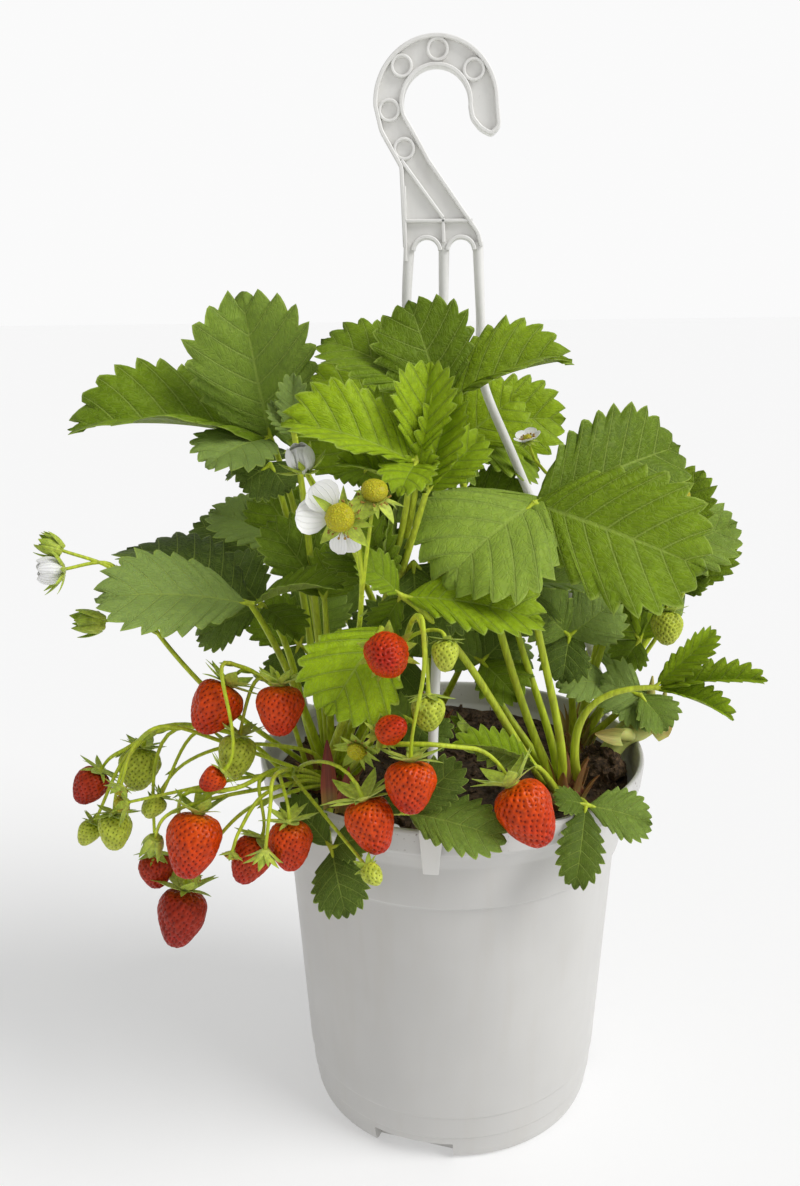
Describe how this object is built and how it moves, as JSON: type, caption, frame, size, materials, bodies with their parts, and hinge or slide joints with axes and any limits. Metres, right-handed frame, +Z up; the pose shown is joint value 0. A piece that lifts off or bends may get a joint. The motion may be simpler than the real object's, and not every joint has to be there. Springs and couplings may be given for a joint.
{
  "type": "potted strawberry plant",
  "caption": "Fruiting strawberry plant with leaves, flowers, ripe and unripe berries, in a round white plastic pot with a clip-on hanging hook.",
  "frame": {"origin": "centre of the pot's flat floor plate, where the pot stands", "axes": "+Z up along the pot's axis, -Y towards the front of the plant, +X to the right seen from the front"},
  "size_m": [0.2891, 0.2015, 0.4542],
  "materials": {
    "white_plastic": "satin moulded plastic",
    "soil": "loose damp potting soil with bark fibre",
    "crown": "green-red rootstock with papery stipules",
    "leaf": "veined, finely hairy leaf",
    "stalk": "smooth green stalk",
    "ripe_fruit": "glossy fruit skin with seeds in dimples",
    "unripe_fruit": "satin fruit skin with seeds in dimples",
    "petal": "thin soft petal"
  },
  "bodies": {
    "root": {"berry_green_1": "unripe_fruit", "berry_green_2": "unripe_fruit", "berry_green_3": "unripe_fruit", "berry_green_4": "unripe_fruit", "berry_green_5": "unripe_fruit", "berry_green_6": "unripe_fruit", "berry_ripe_1": "ripe_fruit", "berry_ripe_10": "ripe_fruit", "berry_ripe_11": "ripe_fruit", "berry_ripe_12": "ripe_fruit", "berry_ripe_13": "ripe_fruit", "berry_ripe_14": "ripe_fruit", "berry_ripe_2": "ripe_fruit", "berry_ripe_3": "ripe_fruit", "berry_ripe_4": "ripe_fruit", "berry_ripe_5": "ripe_fruit", "berry_ripe_6": "ripe_fruit", "berry_ripe_7": "ripe_fruit", "berry_ripe_8": "ripe_fruit", "berry_ripe_9": "ripe_fruit", "crown_back": "crown", "crown_edge": "crown", "crown_left": "crown", "crown_right": "crown", "flower_open": "petal", "flower_opening": "petal", "flower_rear": "petal", "hanger": "white_plastic", "leaf_arch_left": "leaf", "leaf_back_left": "leaf", "leaf_back_mid": "leaf", "leaf_back_right": "leaf", "leaf_behind_arch": "leaf", "leaf_big_right": "leaf", "leaf_bright_back": "leaf", "leaf_corner": "leaf", "leaf_crest": "leaf", "leaf_far_left": "leaf", "leaf_folded_mid": "leaf", "leaf_grey_back": "leaf", "leaf_grey_left": "leaf", "leaf_lime": "leaf", "leaf_long_mid": "leaf", "leaf_low_left": "leaf", "leaf_right_back": "leaf", "leaf_rim_front": "leaf", "leaf_rim_left": "leaf", "leaf_rim_right": "leaf", "leaf_under_mid": "leaf", "leaf_young": "leaf", "pot": "white_plastic", "potting_soil": "soil", "truss_back": "stalk", "truss_centre": "stalk", "truss_cross": "stalk", "truss_flowers": "stalk", "truss_high_left": "stalk", "truss_left_fan": "stalk", "truss_left_mid": "stalk", "truss_low": "stalk"}
  },
  "joints": []
}
